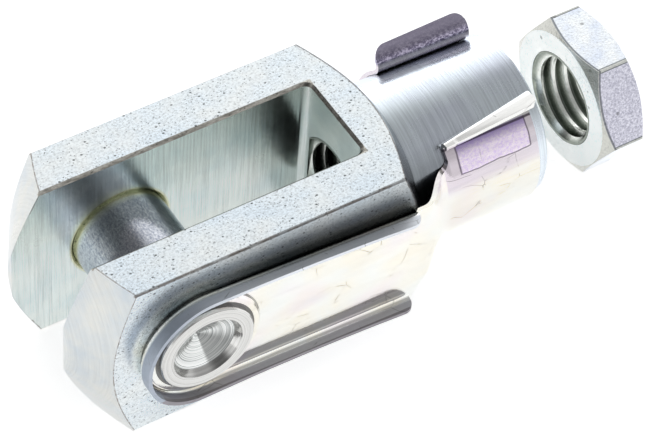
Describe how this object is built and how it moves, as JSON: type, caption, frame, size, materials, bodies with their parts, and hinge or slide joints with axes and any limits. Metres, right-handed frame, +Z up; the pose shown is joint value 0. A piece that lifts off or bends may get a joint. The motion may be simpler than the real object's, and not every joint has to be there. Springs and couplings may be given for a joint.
{
  "type": "clevis rod end",
  "caption": "Forked rod end with a spring clip pin that swings and snaps round its shank, internal rod thread, and a loose thin lock nut.",
  "frame": {"origin": "where the clevis pin's axis crosses the rod's axis, midway between the ears", "axes": "+X along the clevis pin towards the clip, +Y along the rod away from the fork, +Z up, square to the flat that the fork rests on"},
  "size_m": [0.0273, 0.0777, 0.024],
  "materials": {
    "fork_zinc_plated_steel": "satin zinc plate over milled and turned steel",
    "pin_zinc_plated_steel": "bright zinc plate over turned steel",
    "clip_zinc_plated_spring_steel": "bright zinc plate over rolled spring steel",
    "nut_zinc_plated_steel": "satin zinc plate"
  },
  "bodies": {
    "fork": {"fork": "fork_zinc_plated_steel", "lock_nut": "nut_zinc_plated_steel"},
    "clip": {"clevis_pin": "pin_zinc_plated_steel", "spring_clip": "clip_zinc_plated_spring_steel"}
  },
  "joints": [
    {"name": "clip_swing", "type": "hinge", "parent": "fork", "child": "clip", "pos_m": [0, 0, 0], "axis": [1, 0, 0], "range_deg": [-320, 0], "deforming": ["spring_clip"]}
  ]
}
